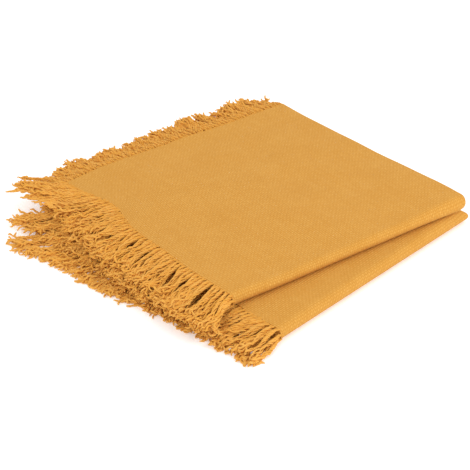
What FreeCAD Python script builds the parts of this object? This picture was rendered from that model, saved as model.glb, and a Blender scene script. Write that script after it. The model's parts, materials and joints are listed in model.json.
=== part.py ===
import FreeCAD, Part
import math
import os

# Folded throw blanket, in millimetres, +Z up.
#
# The throw is one woven rectangle with a fringe along all four sides. It is folded in half twice
# across its width, which makes a strip four plies thick, and the strip is then folded back and
# forth into four leaves that lie on each other:
#
#     top_leaf       free fringed edge at the back, fold at the front
#     second_leaf    fold at the front, fold at the back (the spine)
#     third_leaf     fold at the back (the spine), fold at the front
#     bottom_leaf    fold at the front, free fringed edge at the back
#
# Four leaves of four plies are sixteen panels. The width runs along X, with the cut ends of the
# width at the left and the doubled side folds at the right. The length runs along Y, with the
# two front folds at the front. Each leaf swings about the outermost line of its fold.

# ---- driving dimensions -----------------------------------------------------------------------

THROW_WIDTH = 1370.0        # cloth only, without its fringe
THROW_LENGTH = 1300.0       # cloth only, without its fringe
FRINGE_LENGTH = 65.0
PLIES_PER_LEAF = 4
LEAVES = 4

CLOTH = 2.1                 # thickness of the loosely folded cloth
PLY_GAP = 0.15              # air between two plies of one leaf
LEAF_GAP = 0.3              # air between two leaves
FRINGE_THICKNESS = 1.6
SHORTEST_EDGE = 0.01        # an arc shorter than this is left out of an outline

PANEL_WIDTH = THROW_WIDTH / PLIES_PER_LEAF
PANEL_LENGTH = THROW_LENGTH / LEAVES
PLY_PITCH = CLOTH + PLY_GAP
LEAF_HEIGHT = PLIES_PER_LEAF * CLOTH + (PLIES_PER_LEAF - 1) * PLY_GAP
LEAF_PITCH = LEAF_HEIGHT + LEAF_GAP
FOLD_RADIUS = LEAF_HEIGHT + LEAF_GAP / 2

# The lower pair of leaves lies turned under the upper pair, because the back fold runs askew.
LOWER_TURN = 10.0           # degrees, of the lower front fold against the upper one
SPINE_SKEW = 4.5            # degrees, of the back fold against the upper front fold
SPINE_LEFT = (-22.0, 290.0)
LOWER_FRONT_LEFT = (11.0, -54.0)
BOTTOM_EDGE_LEFT = (-42.0, 264.0)

# Order of the panels in a leaf, from its upper face down, where panel 1 starts at one cut end of
# the width and panel 4 stops at the other. Every second leaf lies upside down.
PANEL_ORDER = (1, 4, 3, 2)
FRINGED_PANELS = (1, 4)


# ---- plan of the folds ------------------------------------------------------------------------

def line_from(left, degrees):
    """A fold line or free edge one panel wide, turned from +X: its left and right ends."""
    angle = math.radians(degrees)
    right = (left[0] + PANEL_WIDTH * math.cos(angle), left[1] + PANEL_WIDTH * math.sin(angle))
    return (left, right)


upper_front = line_from((0.0, 0.0), 0.0)
top_free_edge = line_from((0.0, PANEL_LENGTH), 0.0)
spine = line_from(SPINE_LEFT, SPINE_SKEW)
lower_front = line_from(LOWER_FRONT_LEFT, LOWER_TURN)
bottom_free_edge = line_from(BOTTOM_EDGE_LEFT, LOWER_TURN)

# Each leaf: its name, its front and back lines, and which way the cloth turns at each of them:
# +1 up to the leaf above, -1 down to the leaf below, 0 for a free fringed edge.
LEAF_PLAN = (
    ("top_leaf", upper_front, top_free_edge, -1, 0),
    ("second_leaf", upper_front, spine, +1, -1),
    ("third_leaf", lower_front, spine, -1, +1),
    ("bottom_leaf", lower_front, bottom_free_edge, +1, 0),
)


# ---- small geometry helpers -------------------------------------------------------------------

def unit(start, end):
    """The unit vector in plan from one point to another."""
    reach = math.hypot(end[0] - start[0], end[1] - start[1])
    return FreeCAD.Vector((end[0] - start[0]) / reach, (end[1] - start[1]) / reach, 0.0)


def at_height(point, z):
    return FreeCAD.Vector(point[0], point[1], z)


def slab(corners, z_low, thickness):
    """A flat plate over a polygon."""
    points = [at_height(corner, z_low) for corner in corners]
    face = Part.Face(Part.makePolygon(points + points[:1]))
    return face.extrude(FreeCAD.Vector(0.0, 0.0, thickness))


def arc_points(radius, start_angle, end_angle):
    """Start, middle and end of an arc, as (outward, upward) pairs."""
    middle = (start_angle + end_angle) / 2
    return [(radius * math.cos(a), radius * math.sin(a)) for a in (start_angle, middle, end_angle)]


def bent_strip(start, end, outward, z_axis, radii, angles):
    """Cloth bent about the level axis from start to end.

    radii holds the inner and the outer radius. angles holds, for each of them, where its arc
    starts and ends, in radians from the outward direction and positive upwards."""
    def place(pair):
        return at_height(start, z_axis) + outward * pair[0] + FreeCAD.Vector(0.0, 0.0, pair[1])

    inner_angles, outer_angles = angles
    outer_arc = [place(pair) for pair in arc_points(radii[1], outer_angles[0], outer_angles[1])]
    inner_arc = [place(pair) for pair in arc_points(radii[0], inner_angles[1], inner_angles[0])]
    edges = [Part.Arc(*outer_arc).toShape(), Part.makeLine(outer_arc[2], inner_arc[0])]
    if inner_arc[0].distanceToPoint(inner_arc[2]) > SHORTEST_EDGE:
        edges.append(Part.Arc(*inner_arc).toShape())
    edges.append(Part.makeLine(inner_arc[0] if len(edges) == 2 else inner_arc[2], outer_arc[0]))
    face = Part.Face(Part.Wire(edges))
    return face.extrude(at_height(end, 0.0) - at_height(start, 0.0))


def half_fold(line, toward_back, z_fold, turn, radii):
    """One leaf's half of a fold: from level cloth round to just short of the fold's mid-plane.

    The cloth lies above the axis and turns down to it (turn -1), or below it and turns up."""
    along_line = unit(*line)
    outward = FreeCAD.Vector(-along_line.y, along_line.x, 0.0) * toward_back
    angles = []
    for radius in radii:
        beside_mid_plane = math.asin(min(1.0, LEAF_GAP / 2 / radius))
        angles.append(sorted((-turn * beside_mid_plane, -turn * math.pi / 2)))
    return bent_strip(line[0], line[1], outward, z_fold, radii, angles)


def side_fold(start, end, toward_right, z_axis, radii):
    """Cloth bent right round along a leaf's side."""
    along_side = unit(start, end)
    outward = FreeCAD.Vector(along_side.y, -along_side.x, 0.0) * toward_right
    half_turn = (-math.pi / 2, math.pi / 2)
    return bent_strip(start, end, outward, z_axis, radii, (half_turn, half_turn))


# ---- pieces of one leaf -----------------------------------------------------------------------

def panel(front, back, front_turn, back_turn, z_leaf, z_low):
    """One ply of one leaf, with its share of the front and back folds."""
    shape = slab([front[0], front[1], back[1], back[0]], z_low, CLOTH)
    for line, turn, toward_back in ((front, front_turn, -1), (back, back_turn, +1)):
        if turn == 0:
            continue
        if turn < 0:
            z_fold = z_leaf - LEAF_GAP / 2
            inner = z_low - z_fold
        else:
            z_fold = z_leaf + LEAF_HEIGHT + LEAF_GAP / 2
            inner = z_fold - (z_low + CLOTH)
        radii = (inner, inner + CLOTH)
        shape = shape.fuse(half_fold(line, toward_back, z_fold, turn, radii))
    return shape.removeSplitter()


def side_fringe(front, back, z_low):
    """The fringe on a cut end of the width, along the left side of a leaf."""
    front_tip = at_height(front[0], 0.0) - unit(*front) * FRINGE_LENGTH
    back_tip = at_height(back[0], 0.0) - unit(*back) * FRINGE_LENGTH
    return slab([front[0], back[0], back_tip, front_tip], z_low, FRINGE_THICKNESS)


def end_fringe(front, back, z_low):
    """The fringe on a free end of the length, along the back of a leaf."""
    left_tip = at_height(back[0], 0.0) + unit(front[0], back[0]) * FRINGE_LENGTH
    right_tip = at_height(back[1], 0.0) + unit(front[1], back[1]) * FRINGE_LENGTH
    return slab([back[0], back[1], right_tip, left_tip], z_low, FRINGE_THICKNESS)


def leaf_pieces(index):
    """Every named piece of one leaf, counted from the top one down."""
    name, front, back, front_turn, back_turn = LEAF_PLAN[index]
    z_leaf = (LEAVES - 1 - index) * LEAF_PITCH
    upside_down = index % 2 == 1
    from_top = PANEL_ORDER[::-1] if upside_down else PANEL_ORDER
    pieces = {}
    z_of_panel = {}
    for place, number in enumerate(from_top):
        z_low = z_leaf + (PLIES_PER_LEAF - 1 - place) * PLY_PITCH
        z_of_panel[number] = z_low
        pieces[f"{name}_panel_{number}"] = panel(front, back, front_turn, back_turn, z_leaf, z_low)
        if number in FRINGED_PANELS:
            pieces[f"{name}_side_fringe_{number}"] = side_fringe(front, back, z_low)
        if back_turn == 0:
            pieces[f"{name}_end_fringe_{number}"] = end_fringe(front, back, z_low)

    z_middle = z_leaf + LEAF_HEIGHT / 2
    z_between = (z_of_panel[2] + z_of_panel[3] + CLOTH) / 2
    tight = (PLY_GAP / 2, PLY_GAP / 2 + CLOTH)
    around_tight = (tight[0] + PLY_PITCH, tight[1] + PLY_PITCH)
    pieces[f"{name}_inner_side_fold"] = side_fold(front[1], back[1], 1, z_middle, tight)
    pieces[f"{name}_outer_side_fold"] = side_fold(front[1], back[1], 1, z_middle, around_tight)
    pieces[f"{name}_centre_fold"] = side_fold(front[0], back[0], -1, z_between, tight)
    return pieces


# ---- the whole throw --------------------------------------------------------------------------

all_pieces = {}
for leaf_index in range(LEAVES):
    all_pieces.update(leaf_pieces(leaf_index))

# The origin is on the floor, under the middle of the whole outline.
outline = Part.makeCompound(list(all_pieces.values())).optimalBoundingBox(False, False)
to_origin = FreeCAD.Vector(-outline.Center.x, -outline.Center.y, 0.0)


def fold_axis(line, toward_back, z_fold):
    """The outermost line of a fold, in the finished frame: a point at its middle, and its way."""
    along_line = unit(*line)
    outward = FreeCAD.Vector(-along_line.y, along_line.x, 0.0) * toward_back
    middle = (at_height(line[0], z_fold) + at_height(line[1], z_fold)) * 0.5
    return middle + outward * FOLD_RADIUS + to_origin, along_line


os.makedirs("parts", exist_ok=True)
for node, shape in all_pieces.items():
    shape.translate(to_origin)
    if not shape.isValid() or len(shape.Solids) != 1:
        raise ValueError(f"{node} is not one valid solid")
    shape.exportStep(f"parts/{node}.step")

print("origin moved by", [round(value, 3) for value in to_origin])
print("outline", round(outline.XLength, 2), round(outline.YLength, 2), round(outline.ZLength, 2))
for joint, line, toward_back, leaves_above in (
    ("top_leaf_fold", upper_front, -1, 3),
    ("spine_fold", spine, +1, 2),
    ("lower_fold", lower_front, -1, 1),
):
    point, way = fold_axis(line, toward_back, leaves_above * LEAF_PITCH - LEAF_GAP / 2)
    print(joint, "at", [round(value, 4) for value in point], "along",
          [round(value, 6) for value in way])
print(len(all_pieces), "nodes")
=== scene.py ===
"""Folded throw blanket: four leaves of folded cloth, their yarn fringe, and a plain studio."""
import json
import math

import bpy
import numpy as np
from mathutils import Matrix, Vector


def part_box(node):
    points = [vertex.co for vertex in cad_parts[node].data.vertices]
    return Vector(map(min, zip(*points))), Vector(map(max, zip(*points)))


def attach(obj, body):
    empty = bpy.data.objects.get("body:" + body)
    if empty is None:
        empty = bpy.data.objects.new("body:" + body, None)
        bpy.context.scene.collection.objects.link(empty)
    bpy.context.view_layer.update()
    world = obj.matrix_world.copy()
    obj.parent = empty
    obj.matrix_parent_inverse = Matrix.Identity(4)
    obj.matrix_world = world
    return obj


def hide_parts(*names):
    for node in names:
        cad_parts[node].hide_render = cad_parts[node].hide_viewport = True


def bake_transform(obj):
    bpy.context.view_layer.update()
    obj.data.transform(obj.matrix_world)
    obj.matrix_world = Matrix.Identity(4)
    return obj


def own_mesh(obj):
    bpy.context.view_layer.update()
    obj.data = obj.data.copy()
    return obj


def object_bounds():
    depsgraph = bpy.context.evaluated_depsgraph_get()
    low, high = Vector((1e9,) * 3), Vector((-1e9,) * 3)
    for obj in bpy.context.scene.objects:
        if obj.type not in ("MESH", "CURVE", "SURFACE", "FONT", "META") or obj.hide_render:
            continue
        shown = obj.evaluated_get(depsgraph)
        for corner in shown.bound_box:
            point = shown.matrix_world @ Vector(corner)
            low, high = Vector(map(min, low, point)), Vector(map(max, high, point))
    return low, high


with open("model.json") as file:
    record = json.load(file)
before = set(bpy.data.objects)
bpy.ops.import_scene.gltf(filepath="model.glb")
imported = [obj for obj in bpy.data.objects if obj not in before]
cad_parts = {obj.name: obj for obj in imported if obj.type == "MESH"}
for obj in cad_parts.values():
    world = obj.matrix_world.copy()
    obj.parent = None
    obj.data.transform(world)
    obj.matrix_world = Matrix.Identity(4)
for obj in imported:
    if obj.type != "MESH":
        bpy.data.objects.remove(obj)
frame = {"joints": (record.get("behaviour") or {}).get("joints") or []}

MM = 0.001
SEED = 320

cad_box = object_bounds()


# ---- measures and places, read from the frame ---------------------------------------------------

def size_of(node):
    low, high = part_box(node)
    return high - low


FRINGE_LENGTH = size_of("top_leaf_end_fringe_1").y
PANEL_WIDTH = size_of("top_leaf_end_fringe_1").x
CLOTH = size_of("top_leaf_panel_2").z
LEAF_HEIGHT = size_of("top_leaf_outer_side_fold").z
PLIES = 4
PLY_PITCH = (LEAF_HEIGHT - CLOTH) / (PLIES - 1)
STACK_TOP = cad_box[1][2]

JOINTS = {joint["name"]: joint for joint in frame["joints"]}


def fold_direction(joint_name, sign):
    """The way of a fold line from left to right, in plan."""
    axis = JOINTS[joint_name]["axis"]
    return sign * np.array(axis[:2], float)


UPPER_FRONT = fold_direction("top_leaf_fold", 1)
SPINE = fold_direction("spine_fold", -1)
LOWER_FRONT = fold_direction("lower_fold", 1)


class Leaf:
    """One leaf of the folded throw: its corners in plan, and the heights at which its cloth lies."""

    def __init__(self, name, front_way, back_way, front_fold, back_fold, upside_down):
        self.name = name
        self.front_way = front_way
        self.back_way = back_way
        self.upside_down = upside_down
        low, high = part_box(f"{name}_side_fringe_1")
        self.front_left = np.array((high.x, low.y + FRINGE_LENGTH * front_way[1]))
        self.back_left = np.array((low.x + FRINGE_LENGTH * back_way[0], high.y))
        self.z_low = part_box(f"{name}_outer_side_fold")[0].z
        self.front_z = JOINTS[front_fold]["pos_m"][2] if front_fold else None
        self.back_z = JOINTS[back_fold]["pos_m"][2] if back_fold else None

    def plan(self, across, along):
        """The place in plan at a distance from the left edge and a share of the way to the back."""
        across, along = np.broadcast_arrays(across, along)
        front = self.front_left + across[..., None] * self.front_way
        back = self.back_left + across[..., None] * self.back_way
        return front + (back - front) * along[..., None]

    def length_at(self, across):
        return np.linalg.norm(self.plan(across, 1.0) - self.plan(across, 0.0), axis=-1)

    def ply_height(self, panel):
        """The height of the middle of a panel's cloth. The panels lie in the order 1, 4, 3, 2."""
        place = {1: 0, 4: 1, 3: 2, 2: 3}[panel]
        if not self.upside_down:
            place = PLIES - 1 - place
        return self.z_low + CLOTH / 2 + place * PLY_PITCH


TOP = Leaf("top_leaf", UPPER_FRONT, UPPER_FRONT, "top_leaf_fold", None, False)
SECOND = Leaf("second_leaf", UPPER_FRONT, SPINE, "top_leaf_fold", "spine_fold", True)
THIRD = Leaf("third_leaf", LOWER_FRONT, SPINE, "lower_fold", "spine_fold", False)
BOTTOM = Leaf("bottom_leaf", LOWER_FRONT, LOWER_FRONT, "lower_fold", None, True)
LEAVES = (TOP, SECOND, THIRD, BOTTOM)
NEAR_CORNER = TOP.front_left
LEAF_LENGTH = float(TOP.length_at(0.0))


# ---- how the soft cloth settles away from the plain stack ---------------------------------------

# Places below are measured from the top leaf's near corner, to the right and to the back.
PLIES_DIFFER = 9.0              # how much sooner ripples change with height than along an edge

LEFT_EDGE_REACH = 70 * MM       # how far in from the cut edges their wander dies away
LEFT_WANDER = 3.5 * MM
TOP_WANDER_SHARE = 0.3
TOP_EDGE_PULLS = (              # how far in, where, and how broad
    (15.0 * MM, 240 * MM, 42 * MM),
    (3.0 * MM, 312 * MM, 24 * MM),
    (-4.5 * MM, 60 * MM, 50 * MM),
)

BACK_EDGE_REACH = 60 * MM
BACK_BULGE = 4.0 * MM
BACK_LEFT_DIP = 3.0 * MM
BACK_WANDER = 1.5 * MM

SET_BACK_OVER = 0.58            # share of the set-back over the upper front fold's nose
SET_BACK_UNDER = 0.34           # and how much more there is under it
LOWER_FRONT_OUT = 1.0 * MM
LOWER_FRONT_BACK = 1.5 * MM
LOWER_FRONT_RIGHT = 3.5 * MM

CREASE_SWELL = 1.2 * MM
RIGHT_STANDS_OUT = 1.2 * MM
CORNER_PARTING = 13 * MM        # how deep the notch between the two pairs is
PARTING_HEIGHT = 18.1 * MM
PARTING_SPREAD = 6.5 * MM

BROAD_SWELL = 0.9 * MM
SMALL_SWELL = 0.3 * MM
FRONT_SAG = 1.0 * MM
RIGHT_LIFT = 1.3 * MM


def smooth(value, start, end):
    """0 before start, 1 after end, and smooth between them."""
    share = np.clip((value - start) / (end - start), 0.0, 1.0)
    return share * share * (3.0 - 2.0 * share)


def bump(value, middle, spread):
    """1 at the middle, and down to nothing a few spreads away."""
    return np.exp(-((value - middle) / spread) ** 2)


def ripples(x, y, wavelength, seed):
    """Gentle random waves over the plan, about -1 to 1."""
    rng = np.random.default_rng(seed)
    count = 7
    total = np.zeros(np.broadcast(x, y).shape)
    for _ in range(count):
        turn = rng.uniform(0.0, math.tau)
        stretch = rng.uniform(0.7, 1.5)
        phase = rng.uniform(0.0, math.tau)
        reach = (x * math.cos(turn) + y * math.sin(turn)) * math.tau / (wavelength * stretch)
        total += np.sin(reach + phase)
    return total / math.sqrt(count)


def by(value, places, amounts):
    """An amount that changes evenly between the places given, all in millimetres."""
    return MM * np.interp(value / MM, places, amounts)


def left_edge_pull(x, y, z):
    """The cut left edges wander, and the upper ones are pulled in towards the back."""
    near_edge = np.exp(-np.clip(x, 0.0, None) / LEFT_EDGE_REACH)
    of_top = smooth(z, 25 * MM, 34 * MM)
    of_second = smooth(z, 15 * MM, 20 * MM) * (1.0 - of_top)
    of_lower = 1.0 - smooth(z, 13 * MM, 20 * MM)
    top_pull = sum(amount * bump(y, middle, spread) for amount, middle, spread in TOP_EDGE_PULLS)
    second_pull = by(y, (0, 120, 200, 260, 300), (0, 0, 14, 24, 22))
    wander = LEFT_WANDER * ripples(y, z * PLIES_DIFFER, 150 * MM, SEED + 1)
    wander = wander * smooth(y, -40 * MM, 60 * MM)
    pull = of_top * (top_pull + TOP_WANDER_SHARE * wander)
    pull = pull + of_second * second_pull + of_lower * wander
    return near_edge * pull


def back_edge_push(x, y, z):
    """The free back edge of the top leaf wanders."""
    near_edge = np.exp(-np.clip(LEAF_LENGTH - y, 0.0, None) / BACK_EDGE_REACH)
    of_top = smooth(z, 22 * MM, STACK_TOP)
    bulge = BACK_BULGE * bump(x, 195 * MM, 45 * MM) - BACK_LEFT_DIP * smooth(x, 60 * MM, 0.0)
    wander = BACK_WANDER * ripples(x, z * PLIES_DIFFER, 120 * MM, SEED + 2)
    return near_edge * of_top * (bulge + wander)


def upper_front_set_back(x, y, z):
    """The upper front fold lies a little back, and its under side further."""
    near_front = (1.0 - smooth(y, -9 * MM, 70 * MM)) * (z > SECOND.z_low)
    under_nose = 1.0 - smooth(z, 18.5 * MM, 27.3 * MM)
    set_back = by(x, (0, 20, 60, 230, 280, 340), (8, 8, 6.5, 6, 6, 3.5))
    return near_front * (SET_BACK_OVER + SET_BACK_UNDER * under_nose) * set_back


def lower_front_moves(y, z):
    """How far the lower front fold lies to the right and to the back."""
    near_front = (1.0 - smooth(y, -10 * MM, 110 * MM)) * (z < SECOND.z_low)
    upper_half = smooth(z, 0.0, 9 * MM)
    to_right = near_front * LOWER_FRONT_RIGHT * upper_half
    to_back = near_front * (LOWER_FRONT_BACK * (1.0 - upper_half) - LOWER_FRONT_OUT)
    return to_right, to_back


def corner_parting(x, y, z):
    """How far the right front corner is drawn in where the upper and the lower pair part."""
    at_corner = smooth(x, 300 * MM, 350 * MM) * (1.0 - smooth(y, -10 * MM, 90 * MM))
    return CORNER_PARTING * at_corner * bump(z, PARTING_HEIGHT, PARTING_SPREAD)


def rise(x, y, z):
    """The cloth swells gently, sags in the middle of the front, and stands up at the right."""
    swell = BROAD_SWELL * ripples(x, y, 190 * MM, SEED + 3)
    swell = swell + SMALL_SWELL * ripples(x, y, 62 * MM, SEED + 4)
    sag = FRONT_SAG * bump(x, 150 * MM, 110 * MM) * bump(y, 0.0, 60 * MM)
    right_side = RIGHT_LIFT * smooth(x, 180 * MM, 345 * MM)
    of_top = smooth(z, TOP.z_low, STACK_TOP) * (swell + right_side - sag)
    right_corner = smooth(x, 235 * MM, 350 * MM) * (1.0 - smooth(y, 0.0, 170 * MM))
    corner_lift = right_corner * by(z, (0, 9, 18, 27.3, 36), (0, 0.2, 0.4, 0.2, 2.4))
    in_crease = bump(y, 0.0, 9 * MM) * smooth(z, 9 * MM, 18 * MM) * (z < SECOND.z_low)
    return of_top + corner_lift + CREASE_SWELL * in_crease


def settle(points):
    """Moves points of the plain stack to where the soft cloth lies."""
    x = points[..., 0] - NEAR_CORNER[0]
    y = points[..., 1] - NEAR_CORNER[1]
    z = points[..., 2]
    lower_right, lower_back = lower_front_moves(y, z)
    stands_out = RIGHT_STANDS_OUT * smooth(x, 200 * MM, 345 * MM)
    moved = points.copy()
    moved[..., 0] += left_edge_pull(x, y, z) + lower_right + stands_out - corner_parting(x, y, z)
    moved[..., 1] += back_edge_push(x, y, z) + upper_front_set_back(x, y, z) + lower_back
    moved[..., 2] += rise(x, y, z)
    return moved


# ---- meshes -------------------------------------------------------------------------------------

def add_piece(name, mesh, material):
    mesh.materials.append(material)
    piece = bpy.data.objects.new(name, mesh)
    bpy.context.scene.collection.objects.link(piece)
    return piece


def mesh_from(name, points, faces, maps):
    """A mesh of four-sided faces. Each map gives one (u, v) for each corner of each face."""
    mesh = bpy.data.meshes.new(name)
    mesh.vertices.add(len(points))
    mesh.vertices.foreach_set("co", points.astype(np.float32).ravel())
    mesh.loops.add(faces.size)
    mesh.loops.foreach_set("vertex_index", faces.astype(np.int32).ravel())
    mesh.polygons.add(len(faces))
    mesh.polygons.foreach_set("loop_start", np.arange(0, faces.size, 4, dtype=np.int32))
    for map_name, values in maps.items():
        layer = mesh.uv_layers.new(name=map_name)
        layer.data.foreach_set("uv", values.astype(np.float32).ravel())
    mesh.update(calc_edges=True)
    mesh.validate()
    mesh.shade_smooth()
    return mesh


def grid_faces(rows, columns, start=0):
    """Point numbers of the faces of a grid of points that is stored row by row."""
    first = start + np.arange((rows - 1) * columns).reshape(rows - 1, columns)[:, :-1]
    return np.stack([first, first + 1, first + columns + 1, first + columns], -1).reshape(-1, 4)


def normals_of(grid):
    normals = np.cross(np.gradient(grid, axis=1), np.gradient(grid, axis=0))
    return normals / np.linalg.norm(normals, axis=-1, keepdims=True)


# The map kept for baking holds one face of the cloth, then its other face, then its rim.
BAKE_FACE_HEIGHT = 0.46
BAKE_MARGIN = 0.01
BAKE_OTHER_FACE = 0.5
BAKE_RIM = 0.98
BAKE_RIM_HEIGHT = 0.015
SHARP_ANGLE = math.radians(50)


def cloth_bake_map(weave_map, faces, count, other_face, rim):
    """The map kept for baking. other_face and rim are the numbers of the first faces of each."""
    low = weave_map.min(axis=(0, 1))
    extent = weave_map.max(axis=(0, 1)) - low
    share = (weave_map - low) / extent
    bake = share * (1.0, BAKE_FACE_HEIGHT) + (0.0, BAKE_MARGIN)
    bake[other_face:, :, 1] += BAKE_OTHER_FACE
    bake[rim:, :, 1] = BAKE_RIM + BAKE_RIM_HEIGHT * (faces[rim:] >= count)
    return bake


def cloth_mesh(name, middle, weave, half_thickness):
    """Closed cloth round a grid of its middle points. weave holds their places in the flat cloth."""
    rows, columns = middle.shape[:2]
    count = rows * columns
    lift = normals_of(middle) * half_thickness
    points = np.concatenate([(middle + lift).reshape(-1, 3), (middle - lift).reshape(-1, 3)])
    face = grid_faces(rows, columns)
    back = grid_faces(rows, columns, count)[:, ::-1]
    number = np.arange(count).reshape(rows, columns)
    rims = []
    for line in (number[0, ::-1], number[-1], number[:, 0], number[::-1, -1]):
        rims.append(np.stack([line[:-1], line[:-1] + count, line[1:] + count, line[1:]], -1))
    faces = np.concatenate([face, back, *rims])[:, ::-1]
    place = np.concatenate([weave.reshape(-1, 2)] * 2)
    weave_map = place[faces]
    bake = cloth_bake_map(weave_map, faces, count, len(face), len(face) + len(back))
    mesh = mesh_from(name, points, faces, {"Weave": weave_map, "OFBake": bake})
    mesh.set_sharp_from_angle(angle=SHARP_ANGLE)
    return mesh


# ---- cloth --------------------------------------------------------------------------------------

CLOTH_HALF = 0.45 * CLOTH
GRID_STEP = 5.0 * MM
FOLD_STEPS = 8
NOSE_STEPS = 7
NOSE_GAP = 0.15 * MM            # a leaf's cloth stops this far above or below its fold's mid-plane
CREASE_REACH = 0.4 * MM         # and the crease that joins two leaves reaches this far into each
CREASE_HALF = 0.97 * CLOTH_HALF


def width_profile(leaf):
    """The width folded to one panel: distance across, height, and distance along the cloth."""
    flat = np.linspace(0.0, PANEL_WIDTH, round(PANEL_WIDTH / GRID_STEP) + 1)
    heights = [leaf.ply_height(panel) for panel in (1, 2, 3, 4)]
    across, height, cloth = [], [], []
    done = 0.0
    for number, z in enumerate(heights):
        rightward = number % 2 == 0
        across.append(flat if rightward else flat[::-1])
        height.append(np.full(flat.shape, z))
        cloth.append(done + flat)
        done += PANEL_WIDTH
        if number == PLIES - 1:
            break
        z_next = heights[number + 1]
        radius = abs(z_next - z) / 2
        turned = np.linspace(0.0, math.pi, FOLD_STEPS + 1)[1:-1]
        edge, outward = (PANEL_WIDTH, 1.0) if rightward else (0.0, -1.0)
        across.append(edge + outward * radius * np.sin(turned))
        height.append((z + z_next) / 2 + (z - z_next) / 2 * np.cos(turned))
        cloth.append(done + radius * turned)
        done += math.pi * radius
    return np.concatenate(across), np.concatenate(height), np.concatenate(cloth)


def nose_rows(leaf, across, height, at_front, angles):
    """Points where the cloth turns about a fold, at the angles it has turned from the flat."""
    fold_z = leaf.front_z if at_front else leaf.back_z
    way = leaf.front_way if at_front else leaf.back_way
    outward = np.array((way[1], -way[0])) * (1.0 if at_front else -1.0)
    radius = height - fold_z
    line = leaf.plan(across, 0.0 if at_front else 1.0)
    plan = line + (np.abs(radius) * np.sin(angles))[..., None] * outward
    z = fold_z + radius * np.cos(angles)
    z = np.broadcast_to(z, plan.shape[:-1])
    return np.concatenate([plan, z[..., None]], -1)


def nose_end(height, fold_z, gap):
    """The angle at which each ply comes within a gap of the fold's mid-plane."""
    return np.arccos(gap / np.abs(height - fold_z))


def nose_part(leaf, across, height, at_front, turned):
    """The rows round one fold, and how far past the fold line they lie along the cloth."""
    fold_z = leaf.front_z if at_front else leaf.back_z
    angles = turned * nose_end(height, fold_z, NOSE_GAP)
    return nose_rows(leaf, across, height, at_front, angles), angles * np.abs(height - fold_z)


def leaf_cloth(leaf):
    """The grid of one leaf's cloth, and each point's place in the flat cloth."""
    across, height, cloth = width_profile(leaf)
    length = leaf.length_at(across)
    rows = max(2, round(LEAF_LENGTH / GRID_STEP))
    turned = np.linspace(1.0, 0.0, NOSE_STEPS + 1)[:-1, None]
    grid, along_cloth = [], []
    if leaf.front_z is not None:
        nose, past_fold = nose_part(leaf, across, height, True, turned)
        grid.append(nose)
        along_cloth.append(-past_fold)
    share = np.linspace(0.0, 1.0, rows + 1)[:, None]
    plan = leaf.plan(across, share)
    z = np.broadcast_to(height, plan.shape[:-1])
    grid.append(np.concatenate([plan, z[..., None]], -1))
    along_cloth.append(share * length)
    if leaf.back_z is not None:
        nose, past_fold = nose_part(leaf, across, height, False, turned[::-1])
        grid.append(nose)
        along_cloth.append(length + past_fold)
    grid = np.concatenate(grid)
    v = np.concatenate(along_cloth)
    u = np.broadcast_to(cloth, v.shape)
    return grid, np.stack([u, v], -1)


def make_cloth(leaf, material):
    grid, weave = leaf_cloth(leaf)
    mesh = cloth_mesh(f"{leaf.name}_cloth", settle(grid), weave, CLOTH_HALF)
    piece = add_piece(f"{leaf.name}_cloth", mesh, material)
    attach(piece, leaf.name)
    panels = [f"{leaf.name}_panel_{number}" for number in (1, 2, 3, 4)]
    folds = [f"{leaf.name}_{place}_fold" for place in ("inner_side", "outer_side", "centre")]
    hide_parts(*panels, *folds)
    return piece


def make_crease(name, lower, upper, at_front, material):
    """The narrow strips of cloth that join two leaves at a fold."""
    rows = []
    for leaf in (lower, upper):
        across, height, cloth = width_profile(leaf)
        fold_z = leaf.front_z if at_front else leaf.back_z
        angles = nose_end(height, fold_z, CREASE_REACH)[None]
        rows.append(nose_rows(leaf, across, height, at_front, angles))
    grid = np.concatenate(rows)
    v = np.broadcast_to(np.array((-CREASE_REACH, CREASE_REACH))[:, None], grid.shape[:2])
    u = np.broadcast_to(cloth, grid.shape[:2])
    mesh = cloth_mesh(name, settle(grid), np.stack([u, v], -1), CREASE_HALF)
    piece = add_piece(name, mesh, material)
    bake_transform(piece)
    return piece


# ---- fringe -------------------------------------------------------------------------------------

GROUP_PITCH = 6.0 * MM
YARNS_IN_GROUP = 5
YARN_RADIUS = 0.84 * MM
ABOVE_FLOOR = 1.45 * YARN_RADIUS
RINGS = 40
SIDES = 6
SHARE = np.linspace(0.0, 1.0, RINGS)    # of the way from a yarn's root to its tip, at each ring
ROOT_IN_CLOTH = 1.2 * MM
ROOT_UNEVEN = 3.2 * MM
ROOT_ABOVE_MIDDLE = 0.28 * MM

# Each pair below gives the least and the most. Turns are in radians, wavelengths in millimetres.
GROUP_LENGTH = (0.92, 1.05)
YARN_LENGTH = (0.90, 1.03)
ROPE_BEND = 0.20
ROPE_SWAY = (0.10, 0.30)
SWAY_WAVELENGTH = (28, 55)
CRINKLE = (0.14, 0.38)
CRINKLE_AT_ROOT = 0.15
CRINKLE_WAVELENGTH = (8.5, 17.0)
TIPS_PART = 0.30
TIPS_HOOK = 0.9
GROUP_TIP_VARIES = 1.6 * MM
YARN_TIP_VARIES = 0.9 * MM
UNDULATION = 0.9 * MM
UNDULATION_WAVELENGTH = (7.0, 13.0)
STRAY_SHARE = 0.12
STRAY_LIFT = (1.0 * MM, 5.5 * MM)
TWIST_LENGTH = 19 * MM
APART_IN_ROPE = 1.55 * YARN_RADIUS
APART_AT_TIP = 0.80 * YARN_RADIUS
ROPE_GATHERED_AT = (0.07, 0.15)

SLUB = 0.16
SLUB_WAVELENGTH = (11, 32)
TIP_SWELLS = 0.36
END_NARROWS = 0.5
ROOT_NARROW = 0.7
YARN_THICKNESS = (0.85, 1.15)

CELL_MARGIN_U = 0.06
CELL_MARGIN_V = 0.02
YARNS_APART_IN_MAP = 3.0        # so that no two yarns have the same fibres


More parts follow.
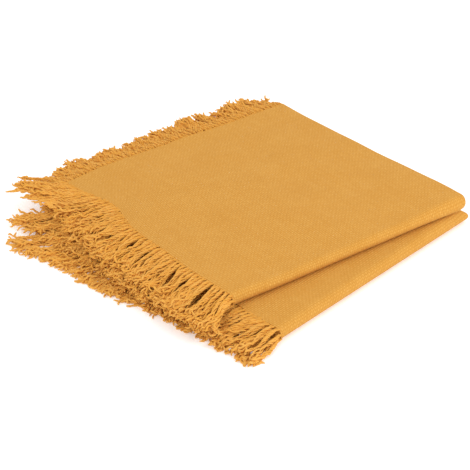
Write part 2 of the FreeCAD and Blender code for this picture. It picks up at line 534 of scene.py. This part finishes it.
def waves(rng, travelled, wavelength):
    """One sine wave along each yarn, of its own length and phase."""
    count = len(travelled)
    wavelength = rng.uniform(*wavelength, (count, 1)) * MM
    return np.sin(math.tau * travelled / wavelength + rng.uniform(0.0, math.tau, (count, 1)))


def rope_headings(rng, headings, length, loose):
    """The way each group's rope goes at each ring: it bends to one side, and sways."""
    groups = len(headings)
    bend = rng.normal(0.0, ROPE_BEND * loose, (groups, 1)) * SHARE ** 1.5
    sway = rng.uniform(*ROPE_SWAY, (groups, 1)) * loose
    sway = sway * waves(rng, length[:, None] * SHARE, SWAY_WAVELENGTH) * smooth(SHARE, 0.0, 0.3)
    return headings[:, None] + bend + sway


def yarn_turns(rng, travelled, loose):
    """How each yarn turns from its rope's way: crinkles, parting tips, and hooked ends."""
    yarns = len(travelled)
    crinkle = rng.uniform(*CRINKLE, (yarns, 1))
    crinkle = crinkle * (CRINKLE_AT_ROOT + (1.0 - CRINKLE_AT_ROOT) * smooth(SHARE, 0.25, 0.85))
    crinkle = loose * crinkle * waves(rng, travelled, CRINKLE_WAVELENGTH)
    parting = rng.normal(0.0, TIPS_PART * loose, (yarns, 1)) * smooth(SHARE, 0.35, 0.95)
    hook = rng.normal(0.0, TIPS_HOOK * loose, (yarns, 1)) * smooth(SHARE, 0.78, 1.0)
    return crinkle + parting + hook


def yarn_heights(rng, root_z, group_tip_z, travelled):
    """Each yarn goes down from its root to its tip, undulates, and sometimes strays upwards."""
    yarns = len(travelled)
    tip_z = (group_tip_z + rng.normal(0.0, YARN_TIP_VARIES, yarns))[:, None]
    z = root_z[:, None] + (tip_z - root_z[:, None]) * smooth(SHARE, 0.03, 0.92)
    z = z + UNDULATION * SHARE * waves(rng, travelled, UNDULATION_WAVELENGTH)
    strays = rng.random((yarns, 1)) < STRAY_SHARE
    lift = strays * rng.uniform(*STRAY_LIFT, (yarns, 1))
    return z + lift * smooth(SHARE, 0.35, 1.0)


def rope_offsets(rng, start_phase, group, member, travelled):
    """How far beside and above its group's line each yarn lies: in a row first, then twisted."""
    phase = (start_phase[group] + member * math.tau / YARNS_IN_GROUP)[:, None]
    twist = math.tau * travelled / TWIST_LENGTH + phase
    apart = APART_IN_ROPE + (APART_AT_TIP - APART_IN_ROPE) * smooth(SHARE, 0.5, 1.0)
    gathered_at = rng.uniform(*ROPE_GATHERED_AT, len(start_phase))[group][:, None]
    twisted = smooth(SHARE / gathered_at, 0.15, 1.0)
    beside = (member[:, None] - (YARNS_IN_GROUP - 1) / 2) * GROUP_PITCH / YARNS_IN_GROUP
    aside = beside * (1.0 - twisted) + np.cos(twist) * apart * twisted
    return aside, np.sin(twist) * apart * twisted


def yarn_paths(rng, roots, headings, tip_heights, reach, loose):
    """Paths of the yarns of one row, as (yarns, rings, 3).

    A group's yarns leave the cloth side by side, twist round each other, and part at their tips."""
    groups = len(roots)
    length = FRINGE_LENGTH * reach * rng.uniform(*GROUP_LENGTH, groups)
    rope_heading = rope_headings(rng, headings, length, loose)
    start_phase = rng.uniform(0.0, math.tau, groups)
    group_tips = tip_heights + rng.normal(0.0, GROUP_TIP_VARIES, groups)

    group = np.repeat(np.arange(groups), YARNS_IN_GROUP)
    member = np.tile(np.arange(YARNS_IN_GROUP), groups)
    yarns = len(group)
    own_length = length[group] * rng.uniform(*YARN_LENGTH, yarns)
    travelled = own_length[:, None] * SHARE
    heading = rope_heading[group] + yarn_turns(rng, travelled, loose)
    step = own_length[:, None] / (RINGS - 1)
    x = np.cumsum(np.cos(heading), axis=1) * step
    y = np.cumsum(np.sin(heading), axis=1) * step

    root = roots[group]
    z = yarn_heights(rng, root[:, 2] + ROOT_ABOVE_MIDDLE, group_tips[group], travelled)
    aside, above = rope_offsets(rng, start_phase, group, member, travelled)
    begins_back = rng.uniform(0.0, ROOT_UNEVEN, (yarns, 1)) * (1.0 - smooth(SHARE, 0.0, 0.15))
    x = x - np.sin(heading) * aside - np.cos(heading) * begins_back + root[:, :1]
    y = y + np.cos(heading) * aside - np.sin(heading) * begins_back + root[:, 1:2]
    z = np.maximum(z + above, ABOVE_FLOOR)
    return np.stack([x, y, z], -1)


def tube_points(rng, paths):
    """Rings of points round each path, a little uneven in thickness."""
    yarns = len(paths)
    tangent = np.gradient(paths, axis=1)
    tangent /= np.linalg.norm(tangent, axis=-1, keepdims=True)
    side = np.cross(np.array((0.0, 0.0, 1.0)), tangent)
    side /= np.linalg.norm(side, axis=-1, keepdims=True)
    up = np.cross(tangent, side)
    slub = 1.0 + SLUB * waves(rng, SHARE * FRINGE_LENGTH * np.ones((yarns, 1)), SLUB_WAVELENGTH)
    taper = 1.0 + TIP_SWELLS * smooth(SHARE, 0.5, 0.9)
    taper = taper * (1.0 - END_NARROWS * smooth(SHARE, 0.95, 1.0))
    taper = taper * (ROOT_NARROW + (1.0 - ROOT_NARROW) * smooth(SHARE, 0.0, 0.05))
    radius = YARN_RADIUS * rng.uniform(*YARN_THICKNESS, (yarns, 1)) * slub * taper
    turn = (np.arange(SIDES) * math.tau / SIDES)[:, None]
    ring = side[..., None, :] * np.cos(turn) + up[..., None, :] * np.sin(turn)
    return (paths[..., None, :] + radius[..., None, None] * ring).reshape(-1, 3)


def tube_faces(yarns):
    """The walls of all the tubes, yarn by yarn, and then the caps at their ends."""
    first = (np.arange(yarns) * RINGS * SIDES)[:, None]
    last = first + (RINGS - 1) * SIDES
    base = first[..., None] + (np.arange(RINGS - 1) * SIDES)[:, None]
    here = np.arange(SIDES)
    after = (here + 1) % SIDES
    walls = np.stack([base + here, base + after, base + after + SIDES, base + here + SIDES], -1)
    caps = np.stack([
        first + (3, 2, 1, 0), first + (5, 4, 3, 0),
        last + (0, 1, 2, 3), last + (0, 3, 4, 5)], 1)
    return np.concatenate([walls.reshape(-1, 4), caps.reshape(-1, 4)])


def tube_maps(yarns):
    """Each yarn's own unrolled map, and the map kept for baking, with a cell for each yarn."""
    walls = RINGS - 1
    caps = 4
    here = np.arange(SIDES)
    around = np.stack([here, here + 1, here + 1, here], -1) / SIDES
    ring_number = np.arange(walls)[:, None, None] + np.array((0, 0, 1, 1))
    wall_u = np.broadcast_to(around, (yarns, walls, SIDES, 4))
    wall_v = np.broadcast_to(ring_number / walls, (yarns, walls, SIDES, 4))
    cap_u = np.broadcast_to(np.array((0.1, 0.4, 0.6, 0.9)), (yarns, caps, 4))
    cap_v = np.broadcast_to(np.array((0.01, 0.01, 0.99, 0.99))[:, None], (yarns, caps, 4))
    u = np.concatenate([wall_u.reshape(-1, 4), cap_u.reshape(-1, 4)])
    v = np.concatenate([wall_v.reshape(-1, 4), cap_v.reshape(-1, 4)])
    number = np.arange(yarns)
    owner = np.concatenate([np.repeat(number, walls * SIDES), np.repeat(number, caps)])[:, None]

    lanes = math.ceil(math.sqrt(yarns * SIDES))
    bands = math.ceil(yarns / lanes)
    bake_u = (owner % lanes + CELL_MARGIN_U + (1.0 - 2.0 * CELL_MARGIN_U) * u) / lanes
    bake_v = (owner // lanes + CELL_MARGIN_V + (1.0 - 2.0 * CELL_MARGIN_V) * v) / bands
    yarn_map = np.stack([u + owner * YARNS_APART_IN_MAP, v * FRINGE_LENGTH], -1)
    return {"Yarn": yarn_map, "OFBake": np.stack([bake_u, bake_v], -1)}


def yarn_mesh(name, rng, paths):
    """Closed six-sided tubes along the paths, each with a tone of its own."""
    yarns = len(paths)
    mesh = mesh_from(name, tube_points(rng, paths), tube_faces(yarns), tube_maps(yarns))
    tone = np.repeat(rng.uniform(0.0, 1.0, yarns), RINGS * SIDES)
    layer = mesh.attributes.new("tone", "FLOAT", "POINT")
    layer.data.foreach_set("value", tone.astype(np.float32))
    return mesh


# At rest the yarns droop onto what lies below them. The top leaf's end yarns hang over the third
# leaf once that is opened.
# Each fringe of the leaves listed below gets a mesh of its own; the folds named are not read, and
# nothing flattens the yarns.
SIDE_FLATTENED_BY = {TOP: "top_leaf_fold", SECOND: "lower_fold", THIRD: "lower_fold"}
END_FLATTENED_BY = {TOP: "lower_fold"}


def make_fringe(leaf, kind, panel, paths, rng, material):
    node = f"{leaf.name}_{kind}_fringe_{panel}"
    name = f"{node}_yarns"
    piece = add_piece(name, yarn_mesh(name, rng, paths), material)
    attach(piece, leaf.name)
    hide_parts(node)
    flattened_by = SIDE_FLATTENED_BY if kind == "side" else END_FLATTENED_BY
    if leaf in flattened_by:
        root = Vector((0.0, 0.0, leaf.ply_height(panel)))
        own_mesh(piece)
    return piece


ROOT_JITTER = 0.07 * GROUP_PITCH
NOSE_SHARE = 0.9                # how far round the front fold the side fringe goes
GROUP_LEAN = 5.0                # degrees, at random from group to group

LONG_CLUMPS = 55 * MM
SHORT_CLUMPS = 22 * MM
LONG_SLICE, SHORT_SLICE, TIP_SLICE = 0.37, 0.91, 0.53     # metres of ripple from row to row

SIDE_CLUMP_LEAN = (7.0, 5.5)    # degrees, for long and short clumps
SIDE_TIP_HEIGHT = {TOP: 22.0 * MM, SECOND: 16.0 * MM, THIRD: 7.0 * MM, BOTTOM: 2.2 * MM}
BACK_TIPS_HIGHER = 5.5 * MM
TIP_RIPPLE = 2.0 * MM
SIDE_TIP_BELOW_ROOT = 1.0 * MM
BACK_OF_LOWER_CALMER = 0.65

END_CLUMP_LEAN = (8.0, 8.0)
END_LOOSE = 0.55
TOP_END_TIP_HEIGHT = 24.0 * MM
BOTTOM_END_TIP_HEIGHT = 1.5 * MM
END_TIP_BELOW_ROOT = 0.3 * MM
TOP_END_FAN = 0.4               # how much of the plies' spread in height their tips keep
BOTTOM_END_FAN = 0.35
END_REACH_RIPPLE = 0.06

CLEAR_OF_SECOND = 2.2 * MM
CLEAR_OF_SPINE = 7.8 * MM


def group_places(first, last, shift):
    """Distances along an edge at which the groups leave it. A shift of 1 moves them half a pitch."""
    count = round((last - first) / GROUP_PITCH)
    return first + (np.arange(count) + 0.25 + 0.5 * shift) * (last - first) / count


def lean_of(leaf, y):
    """How far a leaf's side yarns turn towards the back, in degrees, by distance from the front."""
    upper_places = (-10, 40, 100, 187, 215, 260, 300, 330)
    upper = np.interp(y / MM, upper_places, (-18, -10, 0, 8, 20, 36, 50, 54))
    low_places = (-80, -50, 20, 120, 220, 270, 300)
    low = np.interp(y / MM, low_places, (-37, -24, -4, 6, 14, 28, 37))
    exposed_places = (-78, -66, -50, -36, -18, 10, 120, 160, 205, 250, 310)
    exposed = np.interp(y / MM, exposed_places, (-37, -20, 6, 22, 16, 4, 10, 18, 30, 35, 40))
    return {TOP: upper, SECOND: 0.6 * upper + 0.4 * low, THIRD: exposed, BOTTOM: low}[leaf]


def reach_of(leaf, y):
    """How much of their length a leaf's side yarns reach, by distance from the front."""
    places = (0, 100, 187, 215, 260, 330)
    if leaf is TOP:
        return np.interp(y / MM, places, (0.88, 0.84, 0.82, 0.88, 1.00, 1.14))
    if leaf is SECOND:
        return np.interp(y / MM, places, (0.88, 0.84, 0.82, 0.84, 0.80, 0.74))
    places = (-80, -40, 10, 70, 130, 200, 250, 300)
    return np.interp(y / MM, places, (0.80, 0.85, 0.80, 0.81, 0.85, 0.90, 1.02, 1.18))


def clumps(place, number, amounts, seed):
    """How the groups lean together in long and in short clumps, in degrees."""
    long_clumps = amounts[0] * ripples(place, number * LONG_SLICE, LONG_CLUMPS, seed)
    short_clumps = amounts[1] * ripples(place, number * SHORT_SLICE, SHORT_CLUMPS, seed + 1)
    return long_clumps + short_clumps


def side_roots(leaf, panel, shift, rng):
    """Where the groups of one ply leave its cut left edge, round its front fold too."""
    height = leaf.ply_height(panel)
    first = 0.0
    if leaf.front_z is not None:
        first = -math.pi / 2 * NOSE_SHARE * abs(height - leaf.front_z)
    length = float(leaf.length_at(0.0))
    places = group_places(first, length, shift)
    places = places + rng.normal(0.0, ROOT_JITTER, len(places))
    share = np.clip(places / length, 0.0, 1.0)
    plan = leaf.plan(np.full(len(places), ROOT_IN_CLOTH), share)
    points = np.concatenate([plan, np.full((len(places), 1), height)], -1)
    round_nose = places < 0.0
    if round_nose.any():
        angles = -places[round_nose] / abs(height - leaf.front_z)
        across = np.full(round_nose.sum(), ROOT_IN_CLOTH)
        points[round_nose] = nose_rows(leaf, across, height, True, angles)
    return settle(points)


def keep_clear(leaf, paths):
    """Holds yarns back from where another leaf lies once the folds are open."""
    if leaf is TOP:
        past_spine = smooth(paths[..., 1] - NEAR_CORNER[1], 285 * MM, 308 * MM)
        lowest = SECOND.z_low + CLEAR_OF_SECOND + CLEAR_OF_SPINE * past_spine
        paths[..., 2] = np.maximum(paths[..., 2], lowest)
    if leaf is THIRD:
        paths[..., 2] = np.minimum(paths[..., 2], SECOND.z_low - YARN_RADIUS)


def side_tip_heights(leaf, number, y, root_z):
    tip = SIDE_TIP_HEIGHT[leaf]
    if leaf is TOP:
        tip = tip + BACK_TIPS_HIGHER * smooth(y, 240 * MM, 300 * MM)
    heights = tip + TIP_RIPPLE * ripples(y, number * TIP_SLICE, 45 * MM, SEED + 22)
    return np.minimum(heights, root_z - SIDE_TIP_BELOW_ROOT)


def make_side_fringe(leaf, panel, number, material):
    rng = np.random.default_rng(SEED + 100 + number)
    roots = side_roots(leaf, panel, number % 2, rng)
    y = roots[:, 1] - NEAR_CORNER[1]
    together = clumps(y, number, SIDE_CLUMP_LEAN, SEED + 20)
    if leaf in (THIRD, BOTTOM):
        together = together * (1.0 - BACK_OF_LOWER_CALMER * smooth(y, 140 * MM, 200 * MM))
    lean = lean_of(leaf, y) + together + rng.normal(0.0, GROUP_LEAN, len(y))
    headings = math.pi - np.radians(lean)
    tip_heights = side_tip_heights(leaf, number, y, roots[:, 2])
    paths = yarn_paths(rng, roots, headings, tip_heights, reach_of(leaf, y), 1.0)
    keep_clear(leaf, paths)
    return make_fringe(leaf, "side", panel, paths, rng, material)


def end_tip_heights(leaf, x, height):
    if leaf is TOP:
        heights = TOP_END_TIP_HEIGHT + (height - TOP.z_low) * TOP_END_FAN
        heights = heights + TIP_RIPPLE * ripples(x, 0.0, 50 * MM, SEED + 25)
    else:
        tip = BOTTOM_END_TIP_HEIGHT + (height - BOTTOM.z_low) * BOTTOM_END_FAN
        heights = np.full(len(x), tip)
    return np.minimum(heights, height - END_TIP_BELOW_ROOT)


def make_end_fringe(leaf, panel, number, material):
    rng = np.random.default_rng(SEED + 200 + number)
    places = group_places(0.0, PANEL_WIDTH, number % 2)
    inside = 1.0 - ROOT_IN_CLOTH / LEAF_LENGTH
    plan = leaf.plan(places, np.full(len(places), inside))
    height = leaf.ply_height(panel)
    roots = settle(np.concatenate([plan, np.full((len(places), 1), height)], -1))
    x = roots[:, 0] - NEAR_CORNER[0]
    to_left = np.interp(x / MM, (0, 200, 300), (11, 11, 3))
    together = clumps(x, number, END_CLUMP_LEAN, SEED + 23)
    lean = to_left + together + rng.normal(0.0, GROUP_LEAN, len(x))
    way = leaf.back_way
    headings = math.atan2(way[0], -way[1]) + np.radians(lean)
    tip_heights = end_tip_heights(leaf, x, height)
    reach_places = (0, 130, 190, 240, 310, 345)
    reach = np.interp(x / MM, reach_places, (0.68, 0.70, 0.78, 0.90, 0.87, 0.82))
    reach = reach + END_REACH_RIPPLE * ripples(x, 0.0, 40 * MM, SEED + 26)
    paths = yarn_paths(rng, roots, headings, tip_heights, reach, END_LOOSE)
    return make_fringe(leaf, "end", panel, paths, rng, material)


# ---- materials ----------------------------------------------------------------------------------

class Graph:
    """Short calls for building a material's nodes."""

    def __init__(self, name):
        self.material = bpy.data.materials.new(name)
        self.material.use_nodes = True
        self.tree = self.material.node_tree
        self.tree.nodes.clear()

    def node(self, kind, inputs=None, **settings):
        made = self.tree.nodes.new(kind)
        for key, value in settings.items():
            setattr(made, key, value)
        for key, value in (inputs or {}).items():
            self.feed(made.inputs[key], value)
        return made

    def feed(self, socket, value):
        if isinstance(value, bpy.types.NodeSocket):
            self.tree.links.new(value, socket)
        else:
            socket.default_value = value

    def math(self, operation, *values):
        made = self.node("ShaderNodeMath", operation=operation)
        for socket, value in zip(made.inputs, values):
            self.feed(socket, value)
        return made.outputs[0]

    def noise(self, vector, scale, detail=2.0, roughness=0.5):
        inputs = {"Vector": vector, "Scale": scale, "Detail": detail, "Roughness": roughness}
        return self.node("ShaderNodeTexNoise", inputs).outputs["Fac"]

    def spread(self, value, low, high):
        """Stretches a value's 0.3 to 0.7 to low to high."""
        made = self.node("ShaderNodeMapRange", {
            "Value": value, "From Min": 0.3, "From Max": 0.7, "To Min": low, "To Max": high})
        return made.outputs[0]

    def mix(self, share, a, b):
        made = self.node("ShaderNodeMix", data_type="RGBA")
        self.feed(made.inputs[0], share)
        self.feed(made.inputs[6], a)
        self.feed(made.inputs[7], b)
        return made.outputs[2]

    def scaled(self, vector, scale):
        made = self.node("ShaderNodeMapping", {"Vector": vector, "Scale": scale})
        return made.outputs[0]

    def weighted(self, *pairs):
        """The sum of values, each times its weight. A weight of 1 adds the value as it is."""
        total = None
        for value, weight in pairs:
            part = value if weight == 1 else self.math("MULTIPLY", value, weight)
            total = part if total is None else self.math("ADD", total, part)
        return total

    def finish_fabric(self, colour, lift, strength, distance, roughness, sheen):
        """Makes the dull, slightly downy surface that the cloth and the yarns share."""
        bump_node = self.node("ShaderNodeBump", {
            "Strength": strength, "Distance": distance, "Height": lift})
        shader = self.node("ShaderNodeBsdfPrincipled", {
            "Base Color": colour, "Roughness": roughness, "Specular IOR Level": FABRIC_SPECULAR,
            "Sheen Weight": sheen, "Sheen Roughness": SHEEN_ROUGHNESS, "Sheen Tint": SHEEN_TINT,
            "Normal": bump_node.outputs[0]})
        self.node("ShaderNodeOutputMaterial", {"Surface": shader.outputs[0]})
        return self.material


# The cloth's deep colour is painted shade, laid into the gaps between its threads.
CLOTH_GAP_PAINTED_SHADE = (0.50, 0.203, 0.021, 1.0)
CLOTH_BODY = (0.618, 0.300, 0.054, 1.0)
CLOTH_LIGHT = (0.690, 0.368, 0.082, 1.0)
# The yarns' deep colour is painted shade, laid into the grooves between their plies.
YARN_GROOVE_PAINTED_SHADE = (0.68, 0.260, 0.016, 1.0)
YARN_BODY = (0.740, 0.352, 0.052, 1.0)
YARN_LIGHT = (0.800, 0.441, 0.110, 1.0)
# The root colour is painted shade on the yarns where they leave the cloth.
YARN_ROOT_PAINTED_SHADE = (0.64, 0.292, 0.044, 1.0)
FABRIC_SPECULAR = 0.15
SHEEN_ROUGHNESS = 0.45
SHEEN_TINT = (1.0, 0.72, 0.35, 1.0)

WEAVE_PITCH = 2.75 * MM
WAVER_SCALE = 60.0              # scales are in waves per metre of cloth
WAVER = 2.4 * MM
DIP_OF_THREADS = 0.42
THREAD_ROUNDNESS = 0.45
WEFT_HEIGHT = 0.88
FIBRE_SCALE = 1500.0
SLUB_ALONG, SLUB_ACROSS = 18, 330
MOTTLE_SCALE = 26.0
GAP_SHADE = 1.05
CLOTH_BUMP = 0.55 * MM

PLY_LENGTH = 3.0 * MM
PLY_ROUNDNESS = 0.7
GROOVE_SHADE = 0.55
YARN_TONES = 0.55
ROOT_SHADE = 0.75
ROOT_SHADE_FROM, ROOT_SHADE_TO = 3.0 * MM, 9.0 * MM
YARN_BUMP = 0.2 * MM


def threads(graph, across, along, pitch):
    """One set of a plain weave's threads: how high each point of them stands, 0 to 1."""
    lane = graph.math("DIVIDE", across, pitch)
    centred = graph.math("SUBTRACT", graph.math("FRACT", lane), 0.5)
    ridge = graph.math("COSINE", graph.math("MULTIPLY", centred, math.pi))
    parity = graph.math("MULTIPLY", graph.math("FLOOR", lane), math.pi)
    turned = graph.math("MULTIPLY", along, math.pi / pitch)
    wave = graph.math("SINE", graph.math("ADD", turned, parity))
    above = graph.math("MULTIPLY_ADD", wave, DIP_OF_THREADS, 1.0 - DIP_OF_THREADS)
    return graph.math("MULTIPLY", graph.math("POWER", ridge, THREAD_ROUNDNESS), above)


def uneven_crossings(graph, u, v):
    """A random value for each crossing of two threads."""
    warp_lane = graph.math("FLOOR", graph.math("DIVIDE", u, WEAVE_PITCH))
    weft_lane = graph.math("FLOOR", graph.math("DIVIDE", v, WEAVE_PITCH))
    cell = graph.node("ShaderNodeCombineXYZ", {"X": warp_lane, "Y": weft_lane}).outputs[0]
    return graph.node("ShaderNodeTexWhiteNoise", {"Vector": cell}).outputs["Value"]


def cloth_material():
    graph = Graph("mustard_basket_weave")
    place = graph.node("ShaderNodeUVMap", uv_map="Weave").outputs[0]
    parts = graph.node("ShaderNodeSeparateXYZ", {"Vector": place})
    waver = graph.noise(place, WAVER_SCALE)
    shift = graph.math("MULTIPLY", graph.math("SUBTRACT", waver, 0.5), WAVER)
    u = graph.math("ADD", parts.outputs[0], shift)
    v = graph.math("SUBTRACT", parts.outputs[1], shift)
    warp = threads(graph, u, v, WEAVE_PITCH)
    weft = threads(graph, v, graph.math("ADD", u, WEAVE_PITCH), WEAVE_PITCH)
    height = graph.math("MAXIMUM", warp, graph.math("MULTIPLY", weft, WEFT_HEIGHT))
    warp_shown = graph.math("SUBTRACT", warp, weft)

    crossing = uneven_crossings(graph, u, v)
    fibres = graph.noise(place, FIBRE_SCALE, 3.0, 0.7)
    slub_warp = graph.noise(graph.scaled(place, (SLUB_ACROSS, SLUB_ALONG, 1)), 1.0)
    slub_weft = graph.noise(graph.scaled(place, (SLUB_ALONG, SLUB_ACROSS, 1)), 1.0)
    slub = graph.weighted((slub_warp, 0.6), (slub_weft, 0.4))
    mottle = graph.noise(place, MOTTLE_SCALE, 4.0, 0.62)

    crossing_tone = graph.math("MULTIPLY_ADD", crossing, 0.5, -0.25)
    tone = graph.weighted(
        (graph.spread(slub, -0.35, 0.35), 1), (graph.spread(mottle, 0.15, 0.65), 1),
        (crossing_tone, 1), (warp_shown, 0.32))
    colour = graph.mix(tone, CLOTH_BODY, CLOTH_LIGHT)
    # Painted shade: where the threads stand low, in the gaps between them, the colour goes towards
    # the cloth's deep colour.
    gap = graph.math("SUBTRACT", 1.0, graph.math("POWER", height, 0.9))
    colour = graph.mix(graph.math("MULTIPLY", gap, GAP_SHADE), colour, CLOTH_GAP_PAINTED_SHADE)
    lift = graph.weighted((height, 1), (fibres, 0.22), (slub, 0.35), (crossing, 0.18))
    return graph.finish_fabric(
        colour, lift, strength=1.0, distance=CLOTH_BUMP, roughness=0.92, sheen=0.12)


def yarn_material():
    graph = Graph("mustard_fringe_yarn")
    place = graph.node("ShaderNodeUVMap", uv_map="Yarn").outputs[0]
    parts = graph.node("ShaderNodeSeparateXYZ", {"Vector": place})
    around, from_root = parts.outputs[0], parts.outputs[1]
    tone = graph.node("ShaderNodeAttribute", attribute_name="tone").outputs["Fac"]
    around_turns = graph.math("MULTIPLY", around, 2.0)
    turns = graph.math("MULTIPLY_ADD", from_root, 2.0 / PLY_LENGTH, around_turns)
    ply = graph.math("SINE", graph.math("MULTIPLY", turns, math.pi))
    ply = graph.math("POWER", graph.math("ABSOLUTE", ply), PLY_ROUNDNESS)
    fibres = graph.noise(graph.scaled(place, (6, 900, 1)), 1.0, 3.0, 0.7)
    patches = graph.noise(graph.scaled(place, (1, 60, 1)), 1.0)
    colour_tone = graph.weighted((tone, YARN_TONES), (graph.spread(patches, 0.0, 0.4), 1))
    colour = graph.mix(colour_tone, YARN_BODY, YARN_LIGHT)
    # Painted shade: the grooves between the plies go towards the yarns' deep colour.
    groove = graph.math("MULTIPLY", graph.math("SUBTRACT", 1.0, ply), GROOVE_SHADE)
    colour = graph.mix(groove, colour, YARN_GROOVE_PAINTED_SHADE)
    # Painted shade near the roots: strongest up to ROOT_SHADE_FROM along the yarn, gone by
    # ROOT_SHADE_TO.
    near_root = graph.node("ShaderNodeMapRange", {
        "Value": from_root, "From Min": ROOT_SHADE_FROM, "From Max": ROOT_SHADE_TO,
        "To Min": ROOT_SHADE, "To Max": 0.0})
    colour = graph.mix(near_root.outputs[0], colour, YARN_ROOT_PAINTED_SHADE)
    lift = graph.weighted((ply, 1), (fibres, 0.3))
    return graph.finish_fabric(
        colour, lift, strength=0.7, distance=YARN_BUMP, roughness=0.9, sheen=0.04)


# ---- studio -------------------------------------------------------------------------------------

CAMERA_AZIMUTH = math.radians(-38.41)
CAMERA_ELEVATION = math.radians(29.76)
CAMERA_DISTANCE = 1.693
CAMERA_LENS = 115.8
SENSOR_WIDTH = 36.0
AIM_RIGHT = 80.6 * MM           # of the near corner
AIM_BACK = 94.8 * MM
FLOOR_HALF = 20.0
FLOOR_GLOW = 0.22
WHITE = (1.0, 1.0, 1.0, 1.0)


def back_from(azimuth, elevation):
    flat = math.cos(elevation)
    return Vector((math.sin(azimuth) * flat, -math.cos(azimuth) * flat, math.sin(elevation)))


def make_camera():
    data = bpy.data.cameras.new("camera")
    data.lens = CAMERA_LENS
    data.sensor_width = SENSOR_WIDTH
    camera = bpy.data.objects.new("camera", data)
    bpy.context.scene.collection.objects.link(camera)
    aim = Vector((NEAR_CORNER[0] + AIM_RIGHT, NEAR_CORNER[1] + AIM_BACK, STACK_TOP))
    back = back_from(CAMERA_AZIMUTH, CAMERA_ELEVATION)
    camera.location = aim + back * CAMERA_DISTANCE
    camera.rotation_mode = "QUATERNION"
    camera.rotation_quaternion = (-back).to_track_quat("-Z", "Y")
    bpy.context.scene.camera = camera


def make_light(name, azimuth, elevation, distance, size, power):
    data = bpy.data.lights.new(name, "AREA")
    data.shape = "DISK"
    data.size = size
    data.energy = power
    light = bpy.data.objects.new(name, data)
    back = back_from(math.radians(azimuth), math.radians(elevation))
    light.location = back * distance
    light.rotation_mode = "QUATERNION"
    light.rotation_quaternion = (-back).to_track_quat("-Z", "Y")
    bpy.context.scene.collection.objects.link(light)


def make_floor():
    half = FLOOR_HALF
    mesh = bpy.data.meshes.new("floor")
    corners = [(-half, -half, 0), (half, -half, 0), (half, half, 0), (-half, half, 0)]
    mesh.from_pydata(corners, [], [(0, 1, 2, 3)])
    floor = bpy.data.objects.new("floor", mesh)
    bpy.context.scene.collection.objects.link(floor)
    graph = Graph("pale_floor")
    shader = graph.node("ShaderNodeBsdfPrincipled", {
        "Base Color": (0.93, 0.93, 0.93, 1.0), "Roughness": 0.9, "Specular IOR Level": 0.1,
        "Emission Color": WHITE, "Emission Strength": FLOOR_GLOW})
    graph.node("ShaderNodeOutputMaterial", {"Surface": shader.outputs[0]})
    mesh.materials.append(graph.material)


def make_studio():
    scene = bpy.context.scene
    scene.view_settings.view_transform = "Standard"
    world = bpy.data.worlds.new("soft_white")
    world.use_nodes = True
    background = world.node_tree.nodes["Background"]
    background.inputs["Color"].default_value = WHITE
    background.inputs["Strength"].default_value = 1.0
    scene.world = world
    make_light("key", azimuth=30.0, elevation=34.0, distance=2.2, size=1.2, power=15.5)
    make_light("fill", azimuth=-70.0, elevation=35.0, distance=2.4, size=1.6, power=8.5)
    make_floor()


# ---- the throw ----------------------------------------------------------------------------------


def make_throw():
    cloth = cloth_material()
    yarn = yarn_material()
    cloths = {leaf: make_cloth(leaf, cloth) for leaf in LEAVES}
    creases = {
        TOP: make_crease("upper_front_crease", SECOND, TOP, True, cloth),
        SECOND: make_crease("spine_crease", THIRD, SECOND, False, cloth),
        THIRD: make_crease("lower_front_crease", BOTTOM, THIRD, True, cloth),
    }
    fringes = {leaf: [] for leaf in LEAVES}
    for number, leaf in enumerate(LEAVES):
        for panel in (1, 4):
            fringes[leaf].append(make_side_fringe(leaf, panel, 2 * number + (panel == 4), yarn))
    for number, leaf in enumerate((TOP, BOTTOM)):
        for panel in (1, 2, 3, 4):
            fringes[leaf].append(make_end_fringe(leaf, panel, 4 * number + panel, yarn))


make_camera()
make_studio()
make_throw()
